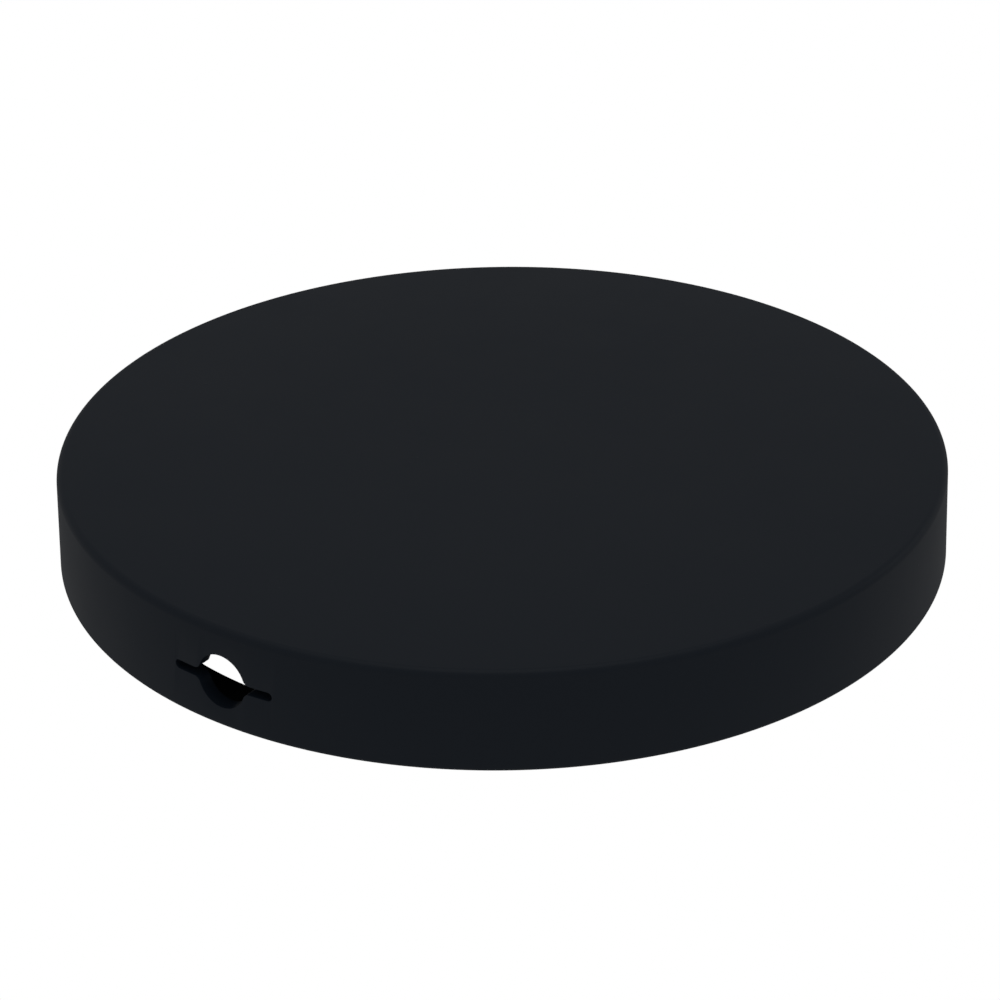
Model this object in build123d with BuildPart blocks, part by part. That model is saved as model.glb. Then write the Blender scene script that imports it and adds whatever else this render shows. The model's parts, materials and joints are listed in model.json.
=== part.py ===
from build123d import *

import os

os.makedirs("parts", exist_ok=True)

# Wireless charging pad, in millimetres, +Z up. The origin is the centre of the circle that the pad
# stands on, and the cable port in the side wall faces -Y. A soft cup-shaped cover carries a rigid
# plate under its charging face. A round hub hangs from that plate and holds the coil and the board.
# The ring of space between hub and cover wall is open underneath: it takes the wound cable.

# Soft cover
pad_diameter = 100.0  # across the foot of the side wall
pad_height = 11.6  # table to charging face
wall_flare = 0.4  # the wall's foot stands this far outside its top
cover_wall = 1.4  # side wall at its top
cover_skin = 0.9  # charging face
cover_lift = 0.2  # gap from the wall's foot to the table
top_edge_radius = 0.9
foot_edge_radius = 0.6
bead_height = 0.3  # soft bead that hooks under the retaining ring
bead_reach = 0.2  # bead inside the wall's inner face
groove_depth = 0.6

# Cable port: a round hole for the cable, with a slit each side that opens to pass the plug
port_radius = 3.0
port_slit_length = 12.6
port_slit_height = 1.0
port_corner_radius = 0.8
port_drop = 0.35  # below the middle of the wall

# Retaining ring and bonded top plate
ring_thickness = 0.7
ring_lead_in = 0.55  # bevel of the opening's upper edge, which eases the cable out of the channel
ring_cover = 0.45  # share of the channel's width that the ring closes from below
plate_thickness = 1.0
adhesive_thickness = 0.1
adhesive_margin = 1.2  # bare edge of the plate round the film

# Coil stack, from the top plate down
coil_inner_radius = 10.25
coil_outer_radius = 22.0
coil_turns = 10
coil_thickness = 1.0
coil_web = 0.5  # bonded web between two turns
film_thickness = 0.1
ferrite_thickness = 0.6
ferrite_margin = 1.6  # ferrite beyond the coil
carrier_wall = 0.8
carrier_floor = 0.5
lead_diameter = 0.9
lead_spacing = 3.2
lead_bend_radius = 0.9
lead_slot_gap = 0.3  # slot wider than the lead, each side
thermistor_radius = 0.7
thermistor_length = 2.0
thermistor_lead_radius = 0.15
thermistor_lead_spacing = 0.8
thermistor_edge_radius = 0.2
centre_hole_radius = 2.0  # through ferrite and carrier, for the thermistor

# Hub case and feet
case_wall = 1.4
case_floor = 1.3
case_edge_radius = 0.7
foot_thickness = 0.9
foot_recess = 0.4
foot_width = 4.0
foot_inset = 1.4  # from the hub's outer face
foot_end_radius = 1.2
bay_width = 14.0  # space for the plug, open underneath
bay_corner_radius = 1.0
bay_lip_radius = 1.2
rib_height = 1.0  # locating rib under the top plate
rib_width = 1.0

# Screws, inserts and posts
screw_count = 4
screw_radius = 0.95
screw_head_radius = 1.9
screw_recess_width = 0.5
screw_recess_depth = 0.6
screw_hole_radius = 1.15
insert_radius = 1.6
insert_length = 3.0
boss_radius = 2.3
boss_gap = 0.7  # carrier to boss
board_margin = 5.5  # boss to case wall

# Circuit board
board_thickness = 1.0
package_edge = 0.06  # broken top edge of a component

# Socket, set into the board's front edge at half its height
socket_width = 8.94
socket_height = 3.26
socket_floor_gap = 0.27  # case floor to the shell, whose middle is level with the board's top
socket_length = 7.3
socket_sheet = 0.3
socket_corner_radius = 1.55
socket_flange_length = 1.2
socket_flange_reach = 1.3
tongue_width = 6.7
tongue_thickness = 0.7
tongue_setback = 0.9  # tip behind the mouth
tongue_block_length = 2.4
contact_pitch = 0.5
contact_width = 0.25
contact_length = 3.2
contact_thickness = 0.08
contacts_per_side = 12

# Clearances
slip = 0.1  # parts that drop into each other
film_gap = 0.02  # parts pressed or moulded together
board_clearance = 0.4
shaft_gap = 0.05

# Heights, from the table up
case_bottom = foot_thickness - foot_recess
case_floor_top = case_bottom + case_floor
board_gap = socket_height / 2 + socket_floor_gap - board_thickness
board_bottom = case_floor_top + board_gap
board_top = board_bottom + board_thickness
ring_bottom = cover_lift + bead_height
ring_top = ring_bottom + ring_thickness
port_height = (cover_lift + pad_height) / 2 - port_drop
skin_bottom = pad_height - cover_skin
plate_top = skin_bottom - adhesive_thickness
plate_bottom = plate_top - plate_thickness
coil_bottom = plate_bottom - coil_thickness
film_bottom = coil_bottom - film_thickness
ferrite_bottom = film_bottom - ferrite_thickness
carrier_bottom = ferrite_bottom - carrier_floor

# Radii, from the middle out
ferrite_radius = coil_outer_radius + ferrite_margin
carrier_radius = ferrite_radius + slip + carrier_wall
boss_circle = carrier_radius + boss_gap + boss_radius
case_inner_radius = boss_circle + boss_radius + board_margin
hub_radius = case_inner_radius + case_wall
foot_radius = pad_diameter / 2
top_radius = foot_radius - wall_flare
cover_inner_radius = top_radius - cover_wall
groove_radius = cover_inner_radius + groove_depth
ring_inner_radius = cover_inner_radius - ring_cover * (cover_inner_radius - hub_radius)
bay_end = carrier_radius + boss_gap / 2 + case_wall  # flat end wall of the bay, as a distance from the axis
beyond = pad_diameter  # length of cutters that have to pass right through
foot_gap_width = bay_width + 2 * case_wall + 2 * foot_inset

STAND = (Align.CENTER, Align.CENTER, Align.MIN)  # on the height that it is placed at
TOWARDS_PORT = (Align.CENTER, Align.MAX)  # flat shape that runs from its place towards -Y
TOWARDS_BACK = (Align.CENTER, Align.MIN)


def hub_plan(inset):
    """The hub's outline, moved in by inset: a disc with the plug bay cut into its -Y side."""
    bay_face = -(bay_end - inset)
    with BuildSketch() as plan:
        Circle(hub_radius - inset)
        with Locations((0, bay_face)):
            Rectangle(bay_width + 2 * inset, beyond, align=TOWARDS_PORT, mode=Mode.SUBTRACT)
        corners = plan.vertices().filter_by_position(Axis.Y, bay_face - slip, bay_face + slip)
        fillet(corners, bay_corner_radius + inset)
    return plan.sketch


def open_ring(inner, outer, gap):
    """A flat ring with a straight gap on its -Y side, where the plug bay is."""
    with BuildSketch() as ring:
        Circle(outer)
        Circle(inner, mode=Mode.SUBTRACT)
        Rectangle(gap, beyond, align=TOWARDS_PORT, mode=Mode.SUBTRACT)
    return ring.sketch


def board_parts(label, size, places):
    """Block-shaped components of one size, standing on the board at these places."""
    with BuildPart() as group:
        with Locations(*[(x, y, board_top) for x, y in places]):
            Box(*size, align=STAND)
        chamfer(group.faces().group_by(Axis.Z)[-1].edges(), package_edge)
    group.part.label = label
    export_step(group.part, f"parts/{label}.step")


# Cover: top face, side wall, and a groove near the foot for the retaining ring
with BuildPart() as silicone_cover:
    with BuildSketch(Plane.XZ) as cover_section:
        with BuildLine():
            Polyline(
                (0, pad_height),
                (top_radius, pad_height),
                (foot_radius, cover_lift),
                (cover_inner_radius - bead_reach, cover_lift),
                (cover_inner_radius - bead_reach, ring_bottom),
                (groove_radius, ring_bottom),
                (groove_radius, ring_top),
                (cover_inner_radius, ring_top),
                (cover_inner_radius, skin_bottom),
                (0, skin_bottom),
                close=True,
            )
        make_face()
        fillet(cover_section.vertices().sort_by_distance((foot_radius, cover_lift))[0], foot_edge_radius)
        fillet(cover_section.vertices().sort_by_distance((top_radius, pad_height))[0], top_edge_radius)
    revolve(axis=Axis.Z)
    with BuildSketch(Plane.XZ.offset(hub_radius)) as port:
        with Locations((0, port_height)):
            Circle(port_radius)
            SlotOverall(port_slit_length, port_slit_height)
        meetings = port.vertices().filter_by(
            lambda corner: abs(corner.center().X) < port_radius and corner.center().X != 0
        )
        fillet(meetings, port_corner_radius)
    extrude(amount=beyond, mode=Mode.SUBTRACT)
silicone_cover.part.label = "silicone_cover"
export_step(silicone_cover.part, "parts/silicone_cover.step")

# Film that bonds the charging face to the plate
with BuildPart() as cover_adhesive:
    with BuildSketch(Plane.XY.offset(plate_top)):
        Circle(cover_inner_radius - slip - adhesive_margin)
    extrude(amount=adhesive_thickness)
cover_adhesive.part.label = "cover_adhesive"
export_step(cover_adhesive.part, "parts/cover_adhesive.step")

# Ring that keeps the wall round and holds the wound cable in
with BuildPart() as retaining_ring:
    with BuildSketch(Plane.XY.offset(ring_bottom)):
        Circle(groove_radius - shaft_gap)
        Circle(ring_inner_radius, mode=Mode.SUBTRACT)
    extrude(amount=ring_thickness)
    inner_edges = retaining_ring.edges().filter_by(GeomType.CIRCLE).group_by(SortBy.RADIUS)[0]
    chamfer(inner_edges.sort_by(Axis.Z)[-1], ring_lead_in)
retaining_ring.part.label = "retaining_ring"
export_step(retaining_ring.part, "parts/retaining_ring.step")

# Top plate: disc, locating rib for the case, and a boss for each threaded insert
with BuildPart() as top_plate:
    with BuildSketch(Plane.XY.offset(plate_bottom)):
        Circle(cover_inner_radius - slip)
    extrude(amount=plate_thickness)
    with BuildSketch(Plane.XY.offset(plate_bottom)):
        add(open_ring(case_inner_radius - slip - rib_width, case_inner_radius - slip, foot_gap_width))
    extrude(amount=-rib_height)
    with BuildSketch(Plane.XY.offset(board_top)):
        with PolarLocations(boss_circle, screw_count, start_angle=180 / screw_count):
            Circle(boss_radius)
    extrude(until=Until.NEXT)
    with BuildSketch(Plane.XY.offset(board_top)):
        with PolarLocations(boss_circle, screw_count, start_angle=180 / screw_count):
            Circle(insert_radius + film_gap)
    extrude(amount=insert_length, mode=Mode.SUBTRACT)
top_plate.part.label = "top_plate"
export_step(top_plate.part, "parts/top_plate.step")

# Case: the hub's floor and side wall, with the plug bay, the socket's window and the screw posts
with BuildPart() as hub_case:
    with BuildSketch(Plane.XY.offset(case_bottom)):
        add(hub_plan(0))
    extrude(amount=plate_bottom - case_bottom)
    bay_lips = hub_case.edges().filter_by(Axis.Z).filter_by_position(Axis.Y, -hub_radius, -bay_end - slip)
    fillet(bay_lips, bay_lip_radius)
    fillet(hub_case.faces().sort_by(Axis.Z)[0].edges(), case_edge_radius)
    with BuildSketch(Plane.XY.offset(case_floor_top)):
        add(hub_plan(case_wall))
    extrude(amount=beyond, mode=Mode.SUBTRACT)
    with BuildSketch(Plane.XY.offset(case_floor_top)):
        with PolarLocations(boss_circle, screw_count, start_angle=180 / screw_count):
            Circle(boss_radius)
    extrude(amount=board_gap)
    with BuildSketch(Plane.XY.offset(case_bottom)):
        add(
            open_ring(
                hub_radius - foot_inset - foot_width - slip,
                hub_radius - foot_inset + slip,
                foot_gap_width - 2 * slip,
            )
        )
    extrude(amount=foot_recess, mode=Mode.SUBTRACT)
    with Locations(Plane(origin=(0, 0, case_bottom), z_dir=(0, 0, -1))):
        with PolarLocations(boss_circle, screw_count, start_angle=180 / screw_count):
            CounterSinkHole(screw_hole_radius, screw_head_radius + slip, counter_sink_angle=90)
    with BuildSketch(Plane.XZ.offset(bay_end - case_wall - slip)):
        with Locations((0, board_top)):
            RectangleRounded(socket_width + 2 * slip, socket_height + 2 * slip, socket_corner_radius)
    extrude(amount=case_wall + 2 * slip, mode=Mode.SUBTRACT)
hub_case.part.label = "hub_case"
export_step(hub_case.part, "parts/hub_case.step")

# Foot: soft ring let into the case's floor, open at the bay
with BuildPart() as foot_ring:
    with BuildSketch():
        add(open_ring(hub_radius - foot_inset - foot_width, hub_radius - foot_inset, foot_gap_width))
    extrude(amount=foot_thickness)
    fillet(foot_ring.edges().filter_by(Axis.Z), foot_end_radius)
foot_ring.part.label = "foot_ring"
export_step(foot_ring.part, "parts/foot_ring.step")

# Countersunk screws with a cross recess, up through case and board into the top plate's inserts
screw_bottom = case_bottom + slip - film_gap
screw_head_height = screw_head_radius - screw_radius
with BuildPart() as case_screws:
    with PolarLocations(boss_circle, screw_count, start_angle=180 / screw_count):
        with Locations((0, 0, screw_bottom)):
            Cone(screw_head_radius, screw_radius, screw_head_height, align=STAND)
            Cylinder(screw_radius, board_top + insert_length - screw_bottom, align=STAND)
            for turn in (0, 90):
                Box(
                    screw_recess_width,
                    2 * screw_radius,
                    screw_recess_depth,
                    rotation=(0, 0, turn),
                    align=STAND,
                    mode=Mode.SUBTRACT,
                )
case_screws.part.label = "case_screws"
export_step(case_screws.part, "parts/case_screws.step")

# Brass inserts pressed into the bosses
with BuildPart() as threaded_inserts:
    with BuildSketch(Plane.XY.offset(board_top)):
        with PolarLocations(boss_circle, screw_count, start_angle=180 / screw_count):
            Circle(insert_radius)
            Circle(screw_radius + shaft_gap, mode=Mode.SUBTRACT)
    extrude(amount=insert_length)
threaded_inserts.part.label = "threaded_inserts"
export_step(threaded_inserts.part, "parts/threaded_inserts.step")

# Transmitter coil: flat winding, its turns bonded side by side
turn_pitch = (coil_outer_radius - coil_inner_radius) / coil_turns
winding_radius = coil_outer_radius - (turn_pitch - coil_thickness) / 2
with BuildPart() as transmitter_coil:
    with BuildSketch(Plane.XZ):
        with Locations(((coil_inner_radius + coil_outer_radius) / 2, coil_bottom + coil_thickness / 2)):
            with GridLocations(turn_pitch, 1, coil_turns, 1):
                Circle(coil_thickness / 2)
            Rectangle(coil_outer_radius - coil_inner_radius - turn_pitch, coil_web)
    revolve(axis=Axis.Z)
transmitter_coil.part.label = "transmitter_coil"
export_step(transmitter_coil.part, "parts/transmitter_coil.step")

# Ferrite behind the coil, and the film between them, both slotted for the coil's inner lead
lead_slot = lead_diameter + 2 * lead_slot_gap
inner_lead_x = -lead_spacing / 2
outer_lead_x = lead_spacing / 2
inner_lead_start = coil_inner_radius - lead_diameter - lead_slot_gap


def slotted_disc(radius):
    """A disc with a hole in its middle and an open slot for the coil's inner lead."""
    with BuildSketch() as disc:
        Circle(radius)
        Circle(centre_hole_radius, mode=Mode.SUBTRACT)
        with Locations((inner_lead_x, inner_lead_start - lead_slot)):
            Rectangle(lead_slot, beyond, align=TOWARDS_BACK, mode=Mode.SUBTRACT)
    return disc.sketch


with BuildPart() as coil_film:
    with BuildSketch(Plane.XY.offset(film_bottom)):
        add(slotted_disc(coil_outer_radius))
    extrude(amount=film_thickness)
coil_film.part.label = "coil_film"
export_step(coil_film.part, "parts/coil_film.step")

with BuildPart() as ferrite_plate:
    with BuildSketch(Plane.XY.offset(ferrite_bottom)):
        add(slotted_disc(ferrite_radius))
    extrude(amount=ferrite_thickness)
ferrite_plate.part.label = "ferrite_plate"
export_step(ferrite_plate.part, "parts/ferrite_plate.step")

# Carrier: shallow tray that holds ferrite and coil against the top plate
with BuildPart() as coil_carrier:
    with BuildSketch(Plane.XY.offset(carrier_bottom)):
        Circle(carrier_radius)
    extrude(amount=plate_bottom - carrier_bottom)
    with BuildSketch(Plane.XY.offset(ferrite_bottom)):
        Circle(ferrite_radius + slip)
    extrude(amount=plate_bottom - ferrite_bottom, mode=Mode.SUBTRACT)
    with BuildSketch(Plane.XY.offset(carrier_bottom)):
        Circle(centre_hole_radius)
        with Locations((inner_lead_x, inner_lead_start - lead_slot)):
            Rectangle(lead_slot, ferrite_radius, align=TOWARDS_BACK)
        with Locations((0, ferrite_radius)):
            Rectangle(lead_spacing + lead_slot, 2 * (carrier_radius - ferrite_radius + lead_slot))
    extrude(amount=plate_bottom - carrier_bottom, mode=Mode.SUBTRACT)
coil_carrier.part.label = "coil_carrier"
export_step(coil_carrier.part, "parts/coil_carrier.step")

# Coil leads: the outer one leaves over the carrier's rim, the inner one under the coil
lead_drop_y = carrier_radius + lead_diameter
outer_lead_z = coil_bottom + coil_thickness / 2
inner_lead_z = film_bottom - lead_diameter / 2
outer_lead_y = (winding_radius**2 - outer_lead_x**2) ** 0.5
with BuildPart() as coil_leads:
    with BuildLine() as outer_route:
        FilletPolyline(
            (outer_lead_x, outer_lead_y + film_gap, outer_lead_z),
            (outer_lead_x, lead_drop_y, outer_lead_z),
            (outer_lead_x, lead_drop_y, board_top),
            radius=lead_bend_radius,
        )
    with BuildSketch(outer_route.line ^ 0):
        Circle(lead_diameter / 2)
    sweep(path=outer_route.line)
    with BuildLine() as inner_route:
        FilletPolyline(
            (inner_lead_x, inner_lead_start, outer_lead_z),
            (inner_lead_x, inner_lead_start, inner_lead_z),
            (inner_lead_x, lead_drop_y, inner_lead_z),
            (inner_lead_x, lead_drop_y, board_top),
            radius=lead_diameter / 2 + shaft_gap,
        )
    with BuildSketch(inner_route.line ^ 0):
        Circle(lead_diameter / 2)
    sweep(path=inner_route.line)
coil_leads.part.label = "coil_leads"
export_step(coil_leads.part, "parts/coil_leads.step")

# Thermistor in the coil's middle, its legs down to the board
with BuildPart() as coil_thermistor:
    with Locations((0, 0, plate_bottom - thermistor_radius)):
        Cylinder(thermistor_radius, thermistor_length, rotation=(0, 90, 0))
    fillet(coil_thermistor.edges().filter_by(GeomType.CIRCLE), thermistor_edge_radius)
    with BuildSketch(Plane.XY.offset(board_top)):
        with GridLocations(thermistor_lead_spacing, 1, 2, 1):
            Circle(thermistor_lead_radius)
    extrude(amount=plate_bottom - thermistor_radius - board_top)
coil_thermistor.part.label = "coil_thermistor"
export_step(coil_thermistor.part, "parts/coil_thermistor.step")

# Circuit board: fits inside the case, cut out round the socket and drilled for the screws
with BuildPart() as circuit_board:
    with BuildSketch(Plane.XY.offset(board_bottom)):
        add(hub_plan(case_wall + board_clearance))
        with Locations((0, -bay_end)):
            Rectangle(
                socket_width + 2 * slip,
                2 * (socket_length + slip),
                mode=Mode.SUBTRACT,
            )
        with PolarLocations(boss_circle, screw_count, start_angle=180 / screw_count):
            Circle(screw_hole_radius, mode=Mode.SUBTRACT)
    extrude(amount=board_thickness)
circuit_board.part.label = "circuit_board"
export_step(circuit_board.part, "parts/circuit_board.step")

# Socket shell: drawn steel box open at the mouth, with soldered flanges on the board
socket_inner_width = socket_width - 2 * socket_sheet
socket_inner_height = socket_height - 2 * socket_sheet
socket_inner_corner = socket_corner_radius - socket_sheet
with BuildPart() as socket_shell:
    with BuildSketch(Plane.XZ.offset(bay_end)):
        with Locations((0, board_top)):
            RectangleRounded(socket_width, socket_height, socket_corner_radius)
    extrude(amount=-socket_length)
    flange_shift = (socket_width + socket_flange_reach - socket_sheet) / 2
    for side in (-1, 1):
        for front in (0, 1):
            flange_y = -(bay_end - case_wall - board_clearance - socket_flange_length) + front * (
                socket_length - case_wall - board_clearance - 2 * socket_flange_length
            )
            with Locations((side * flange_shift, flange_y, board_top)):
                Box(socket_flange_reach + socket_sheet, socket_flange_length, socket_sheet, align=STAND)
    with BuildSketch(Plane.XZ.offset(bay_end)):
        with Locations((0, board_top)):
            RectangleRounded(socket_inner_width, socket_inner_height, socket_inner_corner)
    extrude(amount=-(socket_length - socket_sheet), mode=Mode.SUBTRACT)
socket_shell.part.label = "socket_shell"
export_step(socket_shell.part, "parts/socket_shell.step")

# Socket tongue on its insulating block
block_face = bay_end - socket_length + socket_sheet + tongue_block_length
with BuildPart() as socket_tongue:
    with BuildSketch(Plane.XZ.offset(block_face)):
        with Locations((0, board_top)):
            RectangleRounded(
                socket_inner_width - 2 * film_gap,
                socket_inner_height - 2 * film_gap,
                socket_inner_corner - film_gap,
            )
    extrude(amount=-tongue_block_length)
    with BuildSketch(Plane.XZ.offset(block_face)):
        with Locations((0, board_top)):
            Rectangle(tongue_width, tongue_thickness)
    extrude(amount=bay_end - tongue_setback - block_face)
    fillet(socket_tongue.faces().sort_by(Axis.Y)[0].edges().filter_by(Axis.Z), tongue_thickness / 2)
socket_tongue.part.label = "socket_tongue"
export_step(socket_tongue.part, "parts/socket_tongue.step")

# Socket contacts: strips on both faces of the tongue
with BuildPart() as socket_contacts:
    with BuildSketch(Plane.XZ.offset(block_face)):
        with Locations((0, board_top)):
            with GridLocations(contact_pitch, tongue_thickness + contact_thickness, contacts_per_side, 2):
                Rectangle(contact_width, contact_thickness)
    extrude(amount=contact_length)
socket_contacts.part.label = "socket_contacts"
export_step(socket_contacts.part, "parts/socket_contacts.step")

# Components on the board. Low ones stand under the coil, tall ones outside the carrier.
shield_centre = (10.0, 6.0)
shield_size = (15.0, 11.0, 1.4)
shield_sheet = 0.2
controller_centre = (shield_centre[0] - 2.8, shield_centre[1])
controller_size = (6.0, 6.0, 0.9)
crystal_centre = (shield_centre[0] + 4.2, shield_centre[1])
crystal_size = (2.5, 2.0, 0.6)
bridge_centre = (-10.0, 6.0)
transistor_size = (3.3, 3.3, 0.8)
transistor_pitch = 4.6
input_centre = (-13.0, -17.0)
input_size = (3.2, 1.6, 1.5)
input_pitch = 2.3
input_count = 3
sense_centre = (-18.5, -4.0)
sense_size = (3.2, 1.6, 0.6)
protocol_centre = (9.5, -16.0)
protocol_size = (3.0, 3.0, 0.8)
passive_centre = (9.0, -8.0)
passive_size = (1.6, 0.8, 0.5)
passive_columns = 4
passive_rows = 3
passive_pitch_x = 2.6
passive_pitch_y = 1.8
outer_lane = (carrier_radius + case_inner_radius - board_clearance) / 2  # circle between carrier and wall
inductor_size = (6.6, 6.6, 3.0)
resonant_size = (2.5, 3.2, 2.2)
resonant_count = 4
resonant_pitch = 6.6  # degrees from one to the next
resonant_start = 100.0  # degrees from +X to the first one


def grid(centre, pitch_x, pitch_y, columns, rows):
    """Centres of a rectangular array, as (x, y) pairs."""
    return [
        (
            centre[0] + (column - (columns - 1) / 2) * pitch_x,
            centre[1] + (row - (rows - 1) / 2) * pitch_y,
        )
        for column in range(columns)
        for row in range(rows)
    ]


board_parts("controller_chip", controller_size, [controller_centre])
board_parts("crystal", crystal_size, [crystal_centre])
board_parts(
    "bridge_transistors",
    transistor_size,
    grid(bridge_centre, transistor_pitch, transistor_pitch, 2, 2),
)
board_parts("power_inductor", inductor_size, [(outer_lane, 0)])
board_parts("input_capacitors", input_size, grid(input_centre, 1, input_pitch, 1, input_count))
board_parts("sense_resistor", sense_size, [sense_centre])
board_parts("protocol_chip", protocol_size, [protocol_centre])
board_parts(
    "small_passives",
    passive_size,
    grid(passive_centre, passive_pitch_x, passive_pitch_y, passive_columns, passive_rows),
)

# Resonant capacitors in a row along the board's rim, beside the coil leads
with BuildPart() as resonant_capacitors:
    with Locations((0, 0, board_top)):
        with PolarLocations(outer_lane, resonant_count, resonant_start, resonant_pitch * resonant_count):
            Box(*resonant_size, align=STAND)
resonant_capacitors.part.label = "resonant_capacitors"
export_step(resonant_capacitors.part, "parts/resonant_capacitors.step")

# Shield can over the controller and its crystal
with BuildPart() as shield_can:
    with Locations((*shield_centre, board_top)):
        Box(*shield_size, align=STAND)
    fillet(shield_can.edges().filter_by(Axis.Z), 2 * shield_sheet)
    offset(amount=-shield_sheet, openings=shield_can.faces().sort_by(Axis.Z)[0])
shield_can.part.label = "shield_can"
export_step(shield_can.part, "parts/shield_can.step")

# Thermal pad between the board, under the bridge, and the case floor
with BuildPart() as thermal_pad:
    with Locations((*bridge_centre, case_floor_top)):
        Box(2 * transistor_pitch, 2 * transistor_pitch, board_gap, align=STAND)
thermal_pad.part.label = "thermal_pad"
export_step(thermal_pad.part, "parts/thermal_pad.step")
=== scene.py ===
"""Looks of a round wireless charging pad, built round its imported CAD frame. Lengths are metres."""

from __future__ import annotations

import json
import logging
import math
from collections.abc import Callable, Iterable, Sequence
from dataclasses import dataclass
from enum import Enum

import bmesh
import bpy
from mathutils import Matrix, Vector


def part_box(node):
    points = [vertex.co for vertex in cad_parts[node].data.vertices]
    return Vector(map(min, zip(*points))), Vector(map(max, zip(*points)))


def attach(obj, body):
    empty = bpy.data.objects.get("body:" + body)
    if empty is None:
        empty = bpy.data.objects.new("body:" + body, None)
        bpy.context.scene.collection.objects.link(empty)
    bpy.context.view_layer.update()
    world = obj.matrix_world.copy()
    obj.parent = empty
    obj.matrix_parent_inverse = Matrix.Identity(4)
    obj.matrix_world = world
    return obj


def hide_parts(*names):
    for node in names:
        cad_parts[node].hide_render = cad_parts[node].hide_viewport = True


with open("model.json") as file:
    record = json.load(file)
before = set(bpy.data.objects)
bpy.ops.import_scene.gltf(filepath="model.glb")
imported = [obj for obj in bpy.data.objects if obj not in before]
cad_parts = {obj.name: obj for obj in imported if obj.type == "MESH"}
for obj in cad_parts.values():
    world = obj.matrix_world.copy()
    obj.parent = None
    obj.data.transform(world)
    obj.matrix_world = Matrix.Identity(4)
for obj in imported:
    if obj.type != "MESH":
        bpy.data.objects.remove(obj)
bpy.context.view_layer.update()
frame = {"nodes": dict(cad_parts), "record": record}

LOG = logging.getLogger("charging_pad")
MM = 0.001
FULL_TURN = 2 * math.pi
BODY = "root"
WELD = 0.002 * MM  # corners nearer than this are merged
ROUNDING_SEGMENTS = 3  # faces across a softened edge
CAD_SMOOTH_ANGLE = 30  # degrees under which a welded CAD edge shades smoothly

Colour = tuple[float, float, float]


# ---------------------------------------------------------------- finishes


CLOUD_GRAINS = 12  # grains of the relief across one cloud of the mottling
CLOUD_LOW, CLOUD_HIGH = 0.25, 0.75  # noise values that clouds mostly keep between
RELIEF_SHARE = 0.4  # share of the colour's variation that follows the relief, darker where the relief is low and lighter where it is high, the clouds giving the rest; in sparked pits and between the winding's strands that darkening is painted shade, on grain, brushing and tracks it is the surface's own tone
ROUGHNESS_SPREAD = 0.12  # share by which clouds vary the roughness
BRUSH_STRETCH = 0.04  # scale along the strokes of a brushed surface
PIT_LOW, PIT_HIGH = 0.05, 0.6  # cell distances between which a sparked pit's side rises
PATCH_GRAINS = 3  # grains across one rougher patch of a sparked surface
STRAND_RIDGES = 150  # twisted ridges round the winding
TRACK_WIDTH = 0.08  # width of a board track, as a share of the pattern's size
TRACK_SOFTNESS = 0.3  # softness of a board track's sides


class Relief(Enum):
    """Kinds of fine relief that a surface carries."""

    GRAIN = "grain"
    SPARKED = "sparked"
    BRUSHED = "brushed"
    STRANDED = "stranded"
    TRACKED = "tracked"


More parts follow.
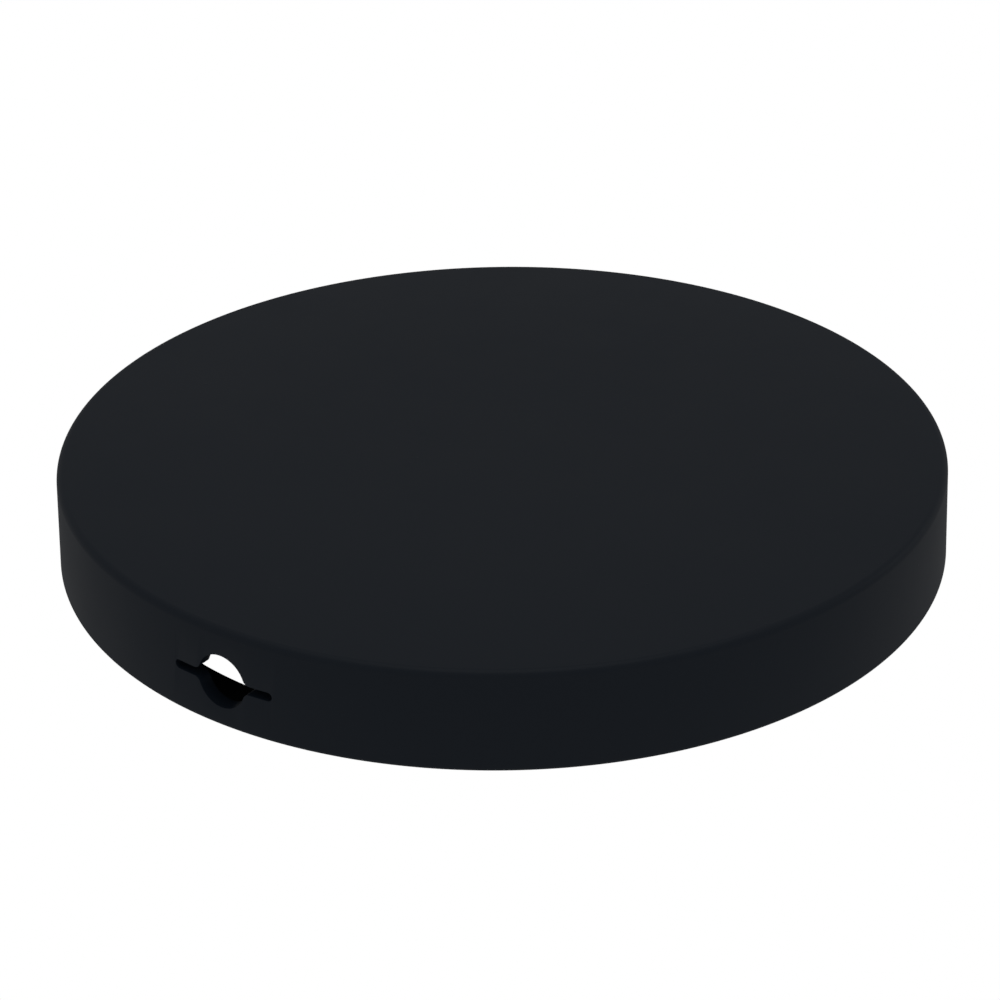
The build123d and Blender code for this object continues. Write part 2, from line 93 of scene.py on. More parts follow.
class ShaderBench:
    """A material's node tree, with short ways to add and join nodes."""

    def __init__(self, name: str) -> None:
        """Start an empty material with a Principled shader on its output.

        Args:
            name: the material's name.
        """
        self.material = bpy.data.materials.new(name)
        self.material.use_nodes = True
        self.tree = self.material.node_tree
        self.tree.nodes.clear()
        self.output = self.tree.nodes.new("ShaderNodeOutputMaterial")
        self.shader = self.tree.nodes.new("ShaderNodeBsdfPrincipled")
        self.join(self.shader.outputs["BSDF"], self.output.inputs["Surface"])
        self.place = self.tree.nodes.new("ShaderNodeTexCoord").outputs["Object"]

    def join(self, start: bpy.types.NodeSocket, end: bpy.types.NodeSocket) -> None:
        """Link two sockets."""
        self.tree.links.new(start, end)

    def stretched(self, scale: Sequence[float]) -> bpy.types.NodeSocket:
        """Object coordinates, scaled along each axis.

        Args:
            scale: factor along X, Y and Z.

        Returns:
            The scaled coordinates.
        """
        mapping = self.tree.nodes.new("ShaderNodeMapping")
        mapping.inputs["Scale"].default_value = scale
        self.join(self.place, mapping.inputs["Vector"])
        return mapping.outputs["Vector"]

    def noise(self, size: float, detail: float = 3.0,
              at: bpy.types.NodeSocket | None = None) -> bpy.types.NodeSocket:
        """Noise whose blobs are about size across.

        Args:
            size: metres from one blob to the next.
            detail: octaves of finer noise.
            at: coordinates to read, or None for plain Object coordinates.

        Returns:
            The noise value socket.
        """
        node = self.tree.nodes.new("ShaderNodeTexNoise")
        node.inputs["Scale"].default_value = 1 / size
        node.inputs["Detail"].default_value = detail
        self.join(at or self.place, node.inputs["Vector"])
        return node.outputs["Fac"]

    def cells(self, size: float) -> bpy.types.Node:
        """Voronoi cells about size across.

        Args:
            size: metres from one cell to the next.

        Returns:
            The node, which gives each cell's distance and colour.
        """
        node = self.tree.nodes.new("ShaderNodeTexVoronoi")
        node.inputs["Scale"].default_value = 1 / size
        self.join(self.place, node.inputs["Vector"])
        return node

    def sums(self, operation: str, first: bpy.types.NodeSocket | float, second: bpy.types.NodeSocket | float,
             clamp: bool = False) -> bpy.types.NodeSocket:
        """A Math node on sockets or plain numbers.

        Args:
            operation: the Math node's operation.
            first: socket or number.
            second: socket or number.
            clamp: keep the result between 0 and 1.

        Returns:
            The result socket.
        """
        node = self.tree.nodes.new("ShaderNodeMath")
        node.operation = operation
        node.use_clamp = clamp
        for socket, value in zip(node.inputs, (first, second)):
            if isinstance(value, (int, float)):
                socket.default_value = value
            else:
                self.join(value, socket)
        return node.outputs["Value"]

    def remap(self, value: bpy.types.NodeSocket, low: float, high: float, to_low: float,
              to_high: float) -> bpy.types.NodeSocket:
        """Map a value from one range to another, held at both ends.

        Args:
            value: the socket to read.
            low: value that gives to_low.
            high: value that gives to_high.
            to_low: result at low.
            to_high: result at high.

        Returns:
            The mapped value socket.
        """
        node = self.tree.nodes.new("ShaderNodeMapRange")
        self.join(value, node.inputs["Value"])
        for name, number in zip(("From Min", "From Max", "To Min", "To Max"), (low, high, to_low, to_high)):
            node.inputs[name].default_value = number
        return node.outputs["Result"]

    def blend(self, share: bpy.types.NodeSocket, first: Colour, second: Colour) -> bpy.types.NodeSocket:
        """Colour between two colours.

        Args:
            share: 0 for the first colour, 1 for the second.
            first: linear RGB.
            second: linear RGB.

        Returns:
            The mixed colour socket.
        """
        node = self.tree.nodes.new("ShaderNodeMix")
        node.data_type = "RGBA"
        self.join(share, node.inputs[0])
        node.inputs[6].default_value = (*first, 1)
        node.inputs[7].default_value = (*second, 1)
        return node.outputs[2]

    def bump(self, height: bpy.types.NodeSocket, depth: float, strength: float = 1.0) -> None:
        """Raise the surface by height times depth in metres.

        Args:
            height: height from 0 to 1.
            depth: metres between height 0 and height 1.
            strength: share of the bump that is used.
        """
        node = self.tree.nodes.new("ShaderNodeBump")
        node.inputs["Strength"].default_value = strength
        node.inputs["Distance"].default_value = depth
        self.join(height, node.inputs["Height"])
        self.join(node.outputs["Normal"], self.shader.inputs["Normal"])


@dataclass(frozen=True)
class Finish:
    """A surface finish: its colour, its gloss and its fine relief.

    Attributes:
        name: material name, which is the record's slot of that finish.
        colour: linear RGB of the clean surface.
        roughness: middle roughness.
        relief: kind of relief.
        size: metres from one grain of the relief to the next.
        depth: height of the relief in metres.
        mottle: share by which the colour varies.
        metallic: 1 for bare metal.
        specular: reflection level of a non-metal.
        coat: weight of a clear coat.
        sheen: weight of the soft edge sheen.
    """

    name: str
    colour: Colour
    roughness: float
    relief: Relief = Relief.GRAIN
    size: float = 0.25 * MM
    depth: float = 0.01 * MM
    mottle: float = 0.08
    metallic: float = 0.0
    specular: float = 0.5
    coat: float = 0.0
    sheen: float = 0.0

    def tint(self, share: float) -> Colour:
        """The colour, lighter or darker by a share."""
        return tuple(min(1.0, part * (1 + share)) for part in self.colour)

    def heights(self, bench: ShaderBench) -> bpy.types.NodeSocket:
        """Relief heights from 0 to 1.

        Args:
            bench: the material being made.

        Returns:
            The height socket.
        """
        if self.relief is Relief.BRUSHED:
            return bench.noise(self.size, 4, bench.stretched((1, BRUSH_STRETCH, 1)))
        if self.relief is Relief.SPARKED:
            pits = bench.remap(bench.cells(self.size).outputs["Distance"], PIT_LOW, PIT_HIGH, 0, 1)
            return bench.sums("MULTIPLY", pits, bench.noise(PATCH_GRAINS * self.size))
        if self.relief is Relief.STRANDED:
            return self.strands(bench)
        if self.relief is Relief.TRACKED:
            return self.tracks(bench)
        return bench.noise(self.size, 2)

    def strands(self, bench: ShaderBench) -> bpy.types.NodeSocket:
        """Slanted ridges round the Z axis, as twisted strands show on a flat winding.

        Args:
            bench: the material being made.

        Returns:
            The height socket.
        """
        turn = bench.tree.nodes.new("ShaderNodeTexGradient")
        turn.gradient_type = "RADIAL"
        bench.join(bench.place, turn.inputs["Vector"])
        reach = bench.tree.nodes.new("ShaderNodeVectorMath")
        reach.operation = "LENGTH"
        bench.join(bench.place, reach.inputs[0])
        around = bench.sums("MULTIPLY", turn.outputs["Fac"], STRAND_RIDGES * FULL_TURN)
        across = bench.sums("MULTIPLY", reach.outputs["Value"], FULL_TURN / self.size)
        wave = bench.sums("SINE", bench.sums("ADD", around, across), 0)
        return bench.remap(wave, -1, 1, 0, 1)

    def tracks(self, bench: ShaderBench) -> bpy.types.NodeSocket:
        """Low ridges in straight runs, as tracks show through solder mask.

        Args:
            bench: the material being made.

        Returns:
            The height socket.
        """
        node = bench.tree.nodes.new("ShaderNodeTexBrick")
        node.inputs["Scale"].default_value = 1 / self.size
        node.inputs["Mortar Size"].default_value = TRACK_WIDTH
        node.inputs["Mortar Smooth"].default_value = TRACK_SOFTNESS
        bench.join(bench.place, node.inputs["Vector"])
        return node.outputs["Fac"]

    def material(self) -> bpy.types.Material:
        """Make the finish's material, or give the one that was made before.

        Returns:
            The material.
        """
        made = bpy.data.materials.get(f"{self.name}_finish")
        if made:
            return made
        bench = ShaderBench(f"{self.name}_finish")
        shader = bench.shader
        shader.inputs["Metallic"].default_value = self.metallic
        shader.inputs["Specular IOR Level"].default_value = self.specular
        shader.inputs["Coat Weight"].default_value = self.coat
        shader.inputs["Sheen Weight"].default_value = self.sheen
        self.paint(bench)
        LOG.info("finish %s", self.name)
        return bench.material

    def paint(self, bench: ShaderBench) -> None:
        """Join colour, roughness and relief to the shader.

        Args:
            bench: the material being made.
        """
        heights = self.heights(bench)
        clouds = bench.noise(CLOUD_GRAINS * self.size, 4)
        # colour follows the relief heights: painted shade in sparked pits and between the winding's strands,
        # own tone of grain, brushing and tracks
        followed = bench.sums("MULTIPLY", heights, RELIEF_SHARE)
        share = bench.sums("ADD", followed, bench.sums("MULTIPLY", clouds, 1 - RELIEF_SHARE))
        colour = bench.blend(share, self.tint(-self.mottle), self.tint(self.mottle))
        bench.join(colour, bench.shader.inputs["Base Color"])
        spread = ROUGHNESS_SPREAD * self.roughness
        rough = bench.remap(clouds, CLOUD_LOW, CLOUD_HIGH, self.roughness - spread, self.roughness + spread)
        bench.join(rough, bench.shader.inputs["Roughness"])
        bench.bump(heights, self.depth)


@dataclass(frozen=True)
class SiliconeFinish(Finish):
    """Matte moulded silicone: a very fine grain and a few tiny raised specks.

    Attributes:
        speck_spacing: metres from one possible speck to the next.
        speck_radius: radius of a speck, as a share of that spacing.
        speck_rarity: share of the places that stay bare.
        speck_depth: height of a speck in metres.
        cloud_size: metres across one cloud of the mottling.
        roughness_spread: roughness that clouds add or take away.
    """

    speck_spacing: float = 1.1 * MM
    speck_radius: float = 0.14
    speck_rarity: float = 0.8
    speck_depth: float = 0.02 * MM
    cloud_size: float = 9 * MM
    roughness_spread: float = 0.02

    def paint(self, bench: ShaderBench) -> None:
        """Join colour, roughness, grain and specks to the shader.

        Args:
            bench: the material being made.
        """
        grain = bench.noise(self.size, 2)
        clouds = bench.noise(self.cloud_size, 3)
        cells = bench.cells(self.speck_spacing)
        dots = bench.remap(cells.outputs["Distance"], 0, self.speck_radius, 1, 0)
        parts = bench.tree.nodes.new("ShaderNodeSeparateColor")
        bench.join(cells.outputs["Color"], parts.inputs["Color"])
        chosen = bench.sums("GREATER_THAN", parts.outputs["Red"], self.speck_rarity)
        specks = bench.sums("MULTIPLY", dots, chosen)
        share = bench.sums("ADD", bench.sums("MULTIPLY", grain, 0.5), bench.sums("MULTIPLY", clouds, 0.5))
        share = bench.sums("ADD", share, specks, clamp=True)
        colour = bench.blend(share, self.tint(-self.mottle), self.tint(self.mottle))
        bench.join(colour, bench.shader.inputs["Base Color"])
        spread = self.roughness_spread
        rough = bench.remap(clouds, CLOUD_LOW, CLOUD_HIGH, self.roughness - spread, self.roughness + spread)
        bench.join(rough, bench.shader.inputs["Roughness"])
        relief = bench.sums("MULTIPLY", grain, self.depth / self.speck_depth)
        bench.bump(bench.sums("ADD", relief, specks), self.speck_depth)


FINISHES = {
    finish.name: finish
    for finish in (
        SiliconeFinish("soft_cover", (0.0160, 0.0275, 0.0460), 0.44, size=0.16 * MM, depth=0.002 * MM,
                       mottle=0.10, specular=0.5),
        Finish("adhesive_film", (0.72, 0.71, 0.66), 0.3, size=0.6 * MM, depth=0.004 * MM, mottle=0.04),
        Finish("dark_plastic", (0.016, 0.017, 0.019), 0.5, Relief.SPARKED, 0.22 * MM, 0.012 * MM, 0.12),
        Finish("foot_rubber", (0.038, 0.039, 0.042), 0.7, size=0.2 * MM, depth=0.01 * MM, mottle=0.15),
        Finish("screw_steel", (0.12, 0.12, 0.125), 0.32, Relief.BRUSHED, 0.1 * MM, 0.003 * MM, 0.2, 1.0),
        Finish("insert_brass", (0.72, 0.5, 0.2), 0.28, Relief.BRUSHED, 0.12 * MM, 0.004 * MM, 0.1, 1.0),
        Finish("copper_winding", (0.62, 0.24, 0.09), 0.33, Relief.STRANDED, 0.5 * MM, 0.04 * MM, 0.2, 1.0,
               coat=0.4),
        Finish("lead_enamel", (0.58, 0.22, 0.08), 0.33, size=0.2 * MM, depth=0.02 * MM, mottle=0.2,
               metallic=1.0, coat=0.4),
        Finish("ferrite", (0.035, 0.035, 0.038), 0.62, size=0.12 * MM, depth=0.01 * MM, mottle=0.25),
        Finish("carrier_plastic", (0.58, 0.58, 0.55), 0.45, Relief.SPARKED, 0.25 * MM, 0.01 * MM, 0.04),
        Finish("board_laminate", (0.008, 0.075, 0.03), 0.35, Relief.TRACKED, 3.2 * MM, 0.03 * MM, 0.35,
               coat=0.3),
        Finish("socket_steel", (0.6, 0.6, 0.61), 0.24, Relief.BRUSHED, 0.08 * MM, 0.002 * MM, 0.06, 1.0),
        Finish("socket_insulator", (0.015, 0.015, 0.017), 0.45, size=0.1 * MM, depth=0.004 * MM),
        Finish("contact_gold", (0.85, 0.6, 0.22), 0.2, Relief.BRUSHED, 0.05 * MM, 0.001 * MM, 0.06, 1.0),
        Finish("chip_resin", (0.018, 0.018, 0.019), 0.55, Relief.SPARKED, 0.08 * MM, 0.004 * MM, 0.12),
        Finish("crystal_can", (0.62, 0.6, 0.55), 0.3, Relief.BRUSHED, 0.06 * MM, 0.002 * MM, 0.08, 1.0),
        Finish("capacitor_ceramic", (0.38, 0.26, 0.14), 0.4, size=0.1 * MM, depth=0.004 * MM, mottle=0.12),
        Finish("inductor_core", (0.07, 0.07, 0.075), 0.6, size=0.12 * MM, depth=0.015 * MM, mottle=0.3),
        Finish("shield_tin", (0.62, 0.61, 0.58), 0.32, Relief.BRUSHED, 0.1 * MM, 0.002 * MM, 0.08, 1.0),
        Finish("pad_silicone", (0.28, 0.38, 0.5), 0.7, size=0.2 * MM, depth=0.01 * MM),
        Finish("sensor_glass", (0.04, 0.04, 0.045), 0.25, size=0.1 * MM, depth=0.003 * MM, coat=0.5),
    )
}


# ---------------------------------------------------------------- modelling steps


def pick(piece: bpy.types.Object) -> None:
    """Select one object alone and make it active.

    Args:
        piece: the object.
    """
    bpy.ops.object.select_all(action="DESELECT")
    piece.select_set(True)
    bpy.context.view_layer.objects.active = piece


def choose_edges(wanted: Callable[[bmesh.types.BMEdge], bool]) -> int:
    """In edit mode, select only the edges that a test accepts.

    Args:
        wanted: test on an edge of the mesh in edit mode.

    Returns:
        How many edges are selected.
    """
    mesh = bpy.context.edit_object.data
    edit = bmesh.from_edit_mesh(mesh)
    bpy.ops.mesh.select_all(action="DESELECT")
    edges = [edge for edge in edit.edges if wanted(edge)]
    for edge in edges:
        edge.select_set(True)
    edit.select_flush_mode()
    bmesh.update_edit_mesh(mesh)
    return len(edges)


def arc(centre: Sequence[float], radius: float, start: float, end: float,
        steps: int) -> list[tuple[float, float]]:
    """Points on an arc, both ends included.

    Args:
        centre: the arc's centre.
        radius: the arc's radius.
        start: first angle in radians.
        end: last angle in radians.
        steps: number of chords.

    Returns:
        The points, as pairs.
    """
    angles = (start + (end - start) * step / steps for step in range(steps + 1))
    return [(centre[0] + radius * math.cos(a), centre[1] + radius * math.sin(a)) for a in angles]


@dataclass(frozen=True)
class Corner:
    """A corner of an outline, with the radius that rounds it.

    Attributes:
        across: distance from the axis.
        up: height.
        radius: rounding radius, or 0 for a sharp corner.
    """

    across: float
    up: float
    radius: float = 0.0


def rounded(corners: Sequence[Corner], steps: int = 8) -> list[tuple[float, float]]:
    """Points of a closed outline whose corners are rounded by arcs.

    Args:
        corners: the corners in order.
        steps: chords in each rounding.

    Returns:
        The points, as (across, up) pairs.
    """
    points: list[tuple[float, float]] = []
    for index, corner in enumerate(corners):
        here = Vector((corner.across, corner.up))
        if not corner.radius:
            points.append(tuple(here))
            continue
        before = corners[index - 1]
        after = corners[(index + 1) % len(corners)]
        back = (Vector((before.across, before.up)) - here).normalized()
        ahead = (Vector((after.across, after.up)) - here).normalized()
        half = back.angle(ahead) / 2
        centre = here + (back + ahead).normalized() * (corner.radius / math.sin(half))
        start = here + back * (corner.radius / math.tan(half)) - centre
        end = here + ahead * (corner.radius / math.tan(half)) - centre
        first = math.atan2(start.y, start.x)
        turn = math.remainder(math.atan2(end.y, end.x) - first, FULL_TURN)
        points += arc(centre, corner.radius, first, first + turn, steps)
    return points


def trace(name: str, points: Sequence[Vector]) -> bpy.types.Object:
    """Draw a closed line by extruding one vertex from point to point. It stays in edit mode, all selected.

    Args:
        name: the new object's name.
        points: the line's points in order.

    Returns:
        The object that holds the line.
    """
    bpy.ops.object.select_all(action="DESELECT")
    bpy.ops.mesh.primitive_plane_add(size=MM)
    piece = bpy.context.object
    piece.name = piece.data.name = name
    bpy.ops.object.mode_set(mode="EDIT")
    bpy.ops.mesh.select_all(action="SELECT")
    bpy.ops.mesh.merge(type="CENTER")
    bpy.ops.transform.translate(value=points[0])
    for start, end in zip(points, points[1:]):
        bpy.ops.mesh.extrude_vertices_move(TRANSFORM_OT_translate={"value": end - start})
    edit = bmesh.from_edit_mesh(piece.data)
    for vertex in edit.verts:
        vertex.select_set(len(vertex.link_edges) == 1)
    bmesh.update_edit_mesh(piece.data)
    bpy.ops.mesh.edge_face_add()
    bpy.ops.mesh.select_all(action="SELECT")
    return piece


def tidy_shell(smooth_angle: float = 35) -> None:
    """From edit mode, merge doubles, turn the faces outwards, and shade by angle in object mode.

    Args:
        smooth_angle: edges that turn more than this many degrees stay sharp.
    """
    bpy.ops.mesh.select_all(action="SELECT")
    bpy.ops.mesh.remove_doubles(threshold=WELD)
    bpy.ops.mesh.normals_make_consistent(inside=False)
    bpy.ops.object.mode_set(mode="OBJECT")
    bpy.ops.object.shade_smooth_by_angle(angle=math.radians(smooth_angle))


def lathe(name: str, outline: Sequence[tuple[float, float]], steps: int,
          centre: Sequence[float] = (0, 0)) -> bpy.types.Object:
    """Spin a closed outline once round a vertical axis.

    Args:
        name: the new piece's name.
        outline: (across, up) pairs.
        steps: faces round the circle.
        centre: x and y of the axis.

    Returns:
        The closed piece, in object mode.
    """
    piece = trace(name, [Vector((centre[0] + across, centre[1], up)) for across, up in outline])
    bpy.ops.mesh.spin(steps=steps, angle=FULL_TURN, center=(*centre, 0), axis=(0, 0, 1), use_auto_merge=True)
    tidy_shell()
    return piece


def prism(name: str, outline: Sequence[Vector], push: Vector) -> bpy.types.Object:
    """Fill a closed outline and extrude it.

    Args:
        name: the new piece's name.
        outline: points of the outline.
        push: direction and length of the extrusion.

    Returns:
        The closed piece, in object mode.
    """
    piece = trace(name, outline)
    bpy.ops.mesh.edge_face_add()
    bpy.ops.mesh.extrude_region_move(TRANSFORM_OT_translate={"value": push})
    tidy_shell()
    return piece


def carve(piece: bpy.types.Object, cutter: bpy.types.Object) -> None:
    """Cut one closed piece out of another and delete the cutter.

    Args:
        piece: the piece that is cut.
        cutter: the piece whose volume is taken away.
    """
    pick(piece)
    cut = piece.modifiers.new("cut", "BOOLEAN")
    cut.operation = "DIFFERENCE"
    cut.solver = "EXACT"
    cut.object = cutter
    bpy.ops.object.modifier_apply(modifier=cut.name)
    bpy.data.objects.remove(cutter)


def soften(piece: bpy.types.Object, wanted: Callable[[bmesh.types.BMEdge], bool], width: float) -> None:
    """Round chosen edges of a piece.

    Args:
        piece: the piece.
        wanted: test on an edge.
        width: width of the rounding in metres.
    """
    pick(piece)
    bpy.ops.object.mode_set(mode="EDIT")
    if choose_edges(wanted):
        bpy.ops.mesh.bevel(offset=width, segments=ROUNDING_SEGMENTS, clamp_overlap=True)
    tidy_shell()


def sharp(edge: bmesh.types.BMEdge, degrees: float = 40) -> bool:
    """True where two faces meet at more than that many degrees."""
    return len(edge.link_faces) == 2 and edge.calc_face_angle(0) > math.radians(degrees)


def dress(piece: bpy.types.Object, finish: str, *nodes: str) -> None:
    """Give a new piece its finish and body, and let it stand for CAD nodes.

    Args:
        piece: the finished piece.
        finish: name of its finish, which is also the record's slot.
        nodes: CAD nodes that it replaces.
    """
    piece.data.materials.clear()
    piece.data.materials.append(FINISHES[finish].material())
    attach(piece, BODY)
    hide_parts(*nodes)
    LOG.info("piece %s: %d faces, for %s", piece.name, len(piece.data.polygons), ", ".join(nodes))


def welded_copy(node: str, name: str) -> bpy.types.Object:
    """Copy a CAD node and merge its loose triangles, so that its curved faces shade smoothly.

    Args:
        node: the CAD node.
        name: the copy's name.

    Returns:
        The copy, in object mode.
    """
    piece = bpy.data.objects.new(name, frame["nodes"][node].data.copy())
    piece.data.name = name
    bpy.context.scene.collection.objects.link(piece)
    pick(piece)
    if piece.data.has_custom_normals:
        bpy.ops.mesh.customdata_custom_splitnormals_clear()
    bpy.ops.object.mode_set(mode="EDIT")
    bpy.ops.mesh.select_all(action="SELECT")
    bpy.ops.mesh.remove_doubles(threshold=WELD)
    bpy.ops.mesh.tris_convert_to_quads()
    bpy.ops.object.mode_set(mode="OBJECT")
    bpy.ops.object.shade_smooth_by_angle(angle=math.radians(CAD_SMOOTH_ANGLE))
    return piece


# ---------------------------------------------------------------- sub-assemblies


@dataclass
class Cover:
    """The soft outer moulding: charging face, side wall and cable port.

    Attributes:
        foot_radius: outside of the wall at its foot.
        top_radius: outside of the wall at the charging face.
        wall: thickness of the wall at its top.
        skin: thickness of the charging face.
        top_edge: rounding of the top edge.
        foot_edge: rounding of the foot's outer edge.
        bead_height: soft bead under the retaining ring.
        bead_reach: bead inside the wall's inner face.
        groove: depth of the ring's groove.
        ring: thickness of the ring.
        port_radius: the port's round hole.
        port_height: middle of the port above the table.
        slit_length: the port's slit, end to end.
        slit_height: height of the slit.
        slit_corner: rounding where the slit meets the hole.
        port_edge: softening of the port's rim.
        hole_steps: chords in a quarter of the port's hole.
        corner_steps: chords in each small rounding of the port.
        steps: faces round the circle.
    """

    foot_radius: float = 50.0 * MM
    top_radius: float = 49.6 * MM
    wall: float = 1.4 * MM
    skin: float = 0.9 * MM
    top_edge: float = 0.9 * MM
    foot_edge: float = 0.6 * MM
    bead_height: float = 0.3 * MM
    bead_reach: float = 0.2 * MM
    groove: float = 0.6 * MM
    ring: float = 0.7 * MM
    port_radius: float = 3.0 * MM
    port_height: float = 5.55 * MM
    slit_length: float = 12.6 * MM
    slit_height: float = 1.0 * MM
    slit_corner: float = 0.8 * MM
    port_edge: float = 0.12 * MM
    hole_steps: int = 16
    corner_steps: int = 6
    steps: int = 360

    def section(self) -> list[tuple[float, float]]:
        """Half section of the cover, from the axis out and back.

        Returns:
            The points, as (across, up) pairs.
        """
        low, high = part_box("silicone_cover")
        inner = self.top_radius - self.wall
        ring_low = low.z + self.bead_height
        ring_high = ring_low + self.ring
        return rounded(
            [
                Corner(0, high.z),
                Corner(self.top_radius / 2, high.z),
                Corner(self.top_radius, high.z, self.top_edge),
                Corner(self.foot_radius, low.z, self.foot_edge),
                Corner(inner - self.bead_reach, low.z),
                Corner(inner - self.bead_reach, ring_low),
                Corner(inner + self.groove, ring_low),
                Corner(inner + self.groove, ring_high),
                Corner(inner, ring_high),
                Corner(inner, high.z - self.skin),
                Corner(0, high.z - self.skin),
            ],
            steps=10,
        )

    def port_quarter(self) -> list[tuple[float, float]]:
        """The port's outline in its upper right quarter, from the top round to the slit's end.

        Returns:
            The points, as (sideways, up) pairs from the port's middle.
        """
        half = self.slit_height / 2
        rise = half + self.slit_corner
        reach = math.sqrt((self.port_radius + self.slit_corner) ** 2 - rise**2)
        lean = math.atan2(rise, reach)
        hole = arc((0, 0), self.port_radius, math.pi / 2, lean, self.hole_steps)
        corner = arc((reach, rise), self.slit_corner, math.pi + lean, 1.5 * math.pi, self.corner_steps)
        end = arc((self.slit_length / 2 - half, 0), half, math.pi / 2, 0, self.corner_steps)
        return hole + corner[1:] + end

    def port_cutter(self) -> bpy.types.Object:
        """A block in the port's shape that passes through the wall at -Y.

        Returns:
            The block, in object mode.
        """
        quarter = self.port_quarter()
        half = quarter + [(x, -z) for x, z in reversed(quarter[:-1])]
        outline = half + [(-x, z) for x, z in reversed(half[1:-1])]
        start = -self.foot_radius - self.wall
        points = [Vector((x, start, self.port_height + z)) for x, z in outline]
        through = 4 * self.wall  # from outside the wall to well inside it
        return prism("port_cutter", points, Vector((0, through, 0)))

    def on_port_rim(self, edge: bmesh.types.BMEdge) -> bool:
        """Tell whether an edge belongs to the port's outer rim.

        Args:
            edge: an edge of the cover.

        Returns:
            True where it does.
        """
        middle = (edge.verts[0].co + edge.verts[1].co) / 2
        near = abs(middle.x) < self.slit_length and middle.y < 0
        outside = middle.xy.length > self.top_radius - self.wall / 2
        level = abs(middle.z - self.port_height) < 1.2 * self.port_radius  # a little past the hole
        return near and outside and level and sharp(edge)

    def build(self) -> None:
        """Spin the moulding, cut its port, soften the rim and dress it."""
        cover = lathe("cover_moulding", self.section(), self.steps)
        carve(cover, self.port_cutter())
        soften(cover, self.on_port_rim, self.port_edge)
        dress(cover, "soft_cover", "silicone_cover")


@dataclass
class RetainingRing:
    """The stiff ring in the foot of the wall.

    Attributes:
        inner_radius: radius of its opening.
        lead_in: bevel of the opening's upper edge.
        edge: small rounding of its edges.
        steps: faces round the circle.
    """

    inner_radius: float = 43.025 * MM
    lead_in: float = 0.55 * MM
    edge: float = 0.04 * MM
    steps: int = 256

    def build(self) -> None:
        """Spin the ring and dress it."""
        low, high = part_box("retaining_ring")
        outline = rounded(
            [
                Corner(self.inner_radius, low.z, self.edge),
                Corner(high.x, low.z, self.edge),
                Corner(high.x, high.z, self.edge),
                Corner(self.inner_radius + self.lead_in, high.z, self.edge),
                Corner(self.inner_radius, high.z - self.lead_in, self.edge),
            ],
            steps=3,
        )
        dress(lathe("retaining_ring_moulding", outline, self.steps), "dark_plastic", "retaining_ring")


@dataclass
class Hub:
    """The hub's own parts: case, foot ring and screws.

    Attributes:
        foot_width: width of the foot ring.
        foot_gap: opening of the foot ring at the plug bay.
        foot_edge: rounding of the ring's edges that touch the table.
        screw_circle: radius of the circle that the screws stand on.
        screw_count: number of screws.
        head_radius: radius of a screw's head.
        shank_radius: radius of a screw's shank.
        recess_width: width of one arm of the cross recess.
        recess_depth: depth of the cross recess.
        recess_reach: half length of a recess arm, as a share of the shank's radius.
        head_edge: rounding of a screw's head.
        tip_bevel: bevel of a screw's tip.
        foot_steps: faces round the foot ring.
        screw_steps: faces round a screw.
    """

    foot_width: float = 4.0 * MM
    foot_gap: float = 19.6 * MM
    foot_edge: float = 0.35 * MM
    screw_circle: float = 27.5 * MM
    screw_count: int = 4
    head_radius: float = 1.9 * MM
    shank_radius: float = 0.95 * MM
    recess_width: float = 0.45 * MM
    recess_depth: float = 0.6 * MM
    recess_reach: float = 1.1
    head_edge: float = 0.12 * MM
    tip_bevel: float = 0.3 * MM
    foot_steps: int = 192
    screw_steps: int = 48

    def build_foot(self) -> None:
        """Spin the foot ring, cut its gap, soften its edges and dress it."""
        low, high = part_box("foot_ring")
        inner = high.x - self.foot_width
        ring = lathe(
            "foot_ring_moulding",
            [(inner, low.z), (high.x, low.z), (high.x, high.z), (inner, high.z)],
            self.foot_steps,
        )
        half = self.foot_gap / 2
        outside = 2 * low.y
        corners = [(-half, outside), (half, outside), (half, 0), (-half, 0)]
        gap = prism(
            "foot_gap",
            [Vector((x, y, low.z - MM)) for x, y in corners],
            Vector((0, 0, high.z - low.z + 2 * MM)),
        )
        carve(ring, gap)
        soften(ring, sharp, self.foot_edge)
        dress(ring, "foot_rubber", "foot_ring")

    def screw(self, number: int, x: float, y: float) -> None:
        """Make one countersunk screw, head down, with a cross recess.

        Args:
            number: the screw's number in its name.
            x: place of its axis.
            y: place of its axis.
        """
        low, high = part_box("case_screws")
        neck = low.z + self.head_radius - self.shank_radius
        outline = rounded(
            [
                Corner(0, low.z),
                Corner(self.head_radius, low.z, self.head_edge),
                Corner(self.shank_radius, neck),
                Corner(self.shank_radius, high.z - self.tip_bevel),
                Corner(self.shank_radius - self.tip_bevel, high.z),
                Corner(0, high.z),
            ],
            steps=4,
        )
        piece = lathe(f"case_screw_{number}", outline, self.screw_steps, (x, y))
        wide, thin = self.recess_reach * self.shank_radius, self.recess_width / 2
        for across, along in ((wide, thin), (thin, wide)):
            corners = [(-across, -along), (across, -along), (across, along), (-across, along)]
            arm = prism(
                "recess_arm",
                [Vector((x + dx, y + dy, low.z - MM)) for dx, dy in corners],
                Vector((0, 0, MM + self.recess_depth)),
            )
            carve(piece, arm)
        dress(piece, "screw_steel", "case_screws")

    def build_screws(self) -> None:
        """Make every screw on its circle."""
        for number in range(self.screw_count):
            angle = FULL_TURN * (number + 0.5) / self.screw_count
            self.screw(number + 1, self.screw_circle * math.cos(angle), self.screw_circle * math.sin(angle))

    def build(self) -> None:
        """Make the hub's parts."""
        dress(welded_copy("hub_case", "hub_case_moulding"), "dark_plastic", "hub_case")
        dress(welded_copy("top_plate", "top_plate_moulding"), "dark_plastic", "top_plate")
        self.build_foot()
        self.build_screws()


